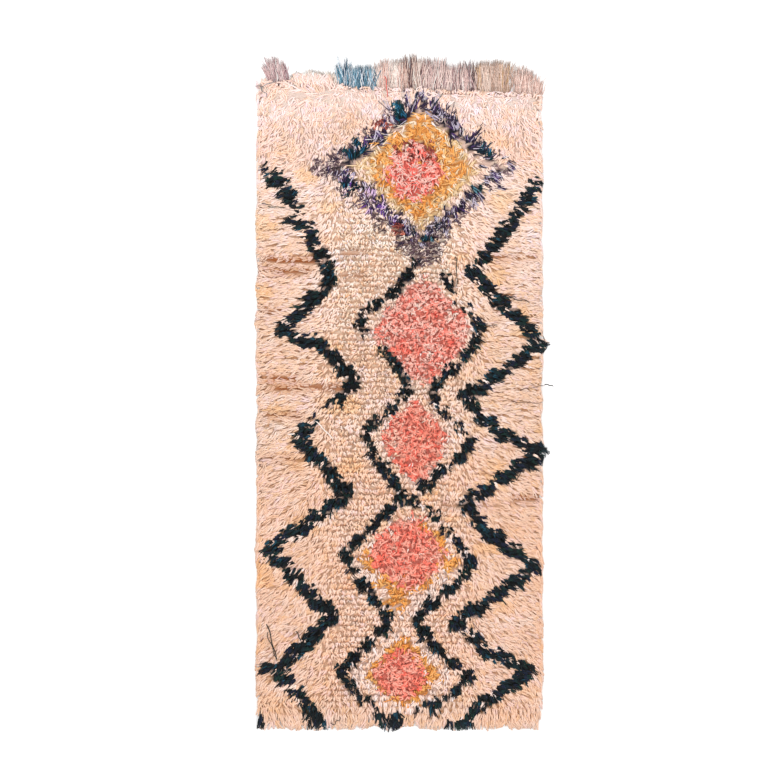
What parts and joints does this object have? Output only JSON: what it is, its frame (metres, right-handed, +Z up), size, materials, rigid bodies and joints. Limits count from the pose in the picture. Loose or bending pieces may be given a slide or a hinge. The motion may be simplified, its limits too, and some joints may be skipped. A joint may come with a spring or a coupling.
{
  "type": "berber rug",
  "caption": "Long shaggy wool runner rug with dark zigzags round a chain of coloured lozenges and yarn fringes along its head, lying flat.",
  "frame": {"origin": "middle of the rug's footprint, on the floor that it lies on", "axes": "+Z up, +Y along the rug towards its fringed head, +X across it to the right"},
  "size_m": [0.8861, 2.0502, 0.0305],
  "materials": {
    "field_wool": "long cream and peach wool pile, matt with a soft fibre sheen",
    "ground_weave": "plain woven wool ground with rows of knot backs, matt",
    "dark_wool": "near black wool pile with teal, navy and petrol blue tufts, matt",
    "violet_wool": "eggplant, navy and lavender wool pile, matt",
    "mustard_wool": "mustard and olive wool pile, matt",
    "coral_wool": "coral, salmon and blush curly wool pile, matt",
    "plum_yarn": "twisted plum grey yarn, matt",
    "blue_yarn": "teal and pale blue yarn, matt",
    "blush_yarn": "blush and ivory brushed yarn, matt",
    "brown_yarn": "taupe brown yarn, matt",
    "mauve_yarn": "mixed mauve, beige and dark brown yarn, matt",
    "tan_yarn": "tan yarn, matt",
    "sand_yarn": "sand yarn, matt"
  },
  "bodies": {
    "root": {"rug": "field_wool", "fringe_plum": "plum_yarn", "fringe_blue": "blue_yarn", "fringe_blush": "blush_yarn", "fringe_brown": "brown_yarn", "fringe_mauve": "mauve_yarn", "fringe_tan": "tan_yarn", "fringe_sand": "sand_yarn"}
  },
  "joints": []
}
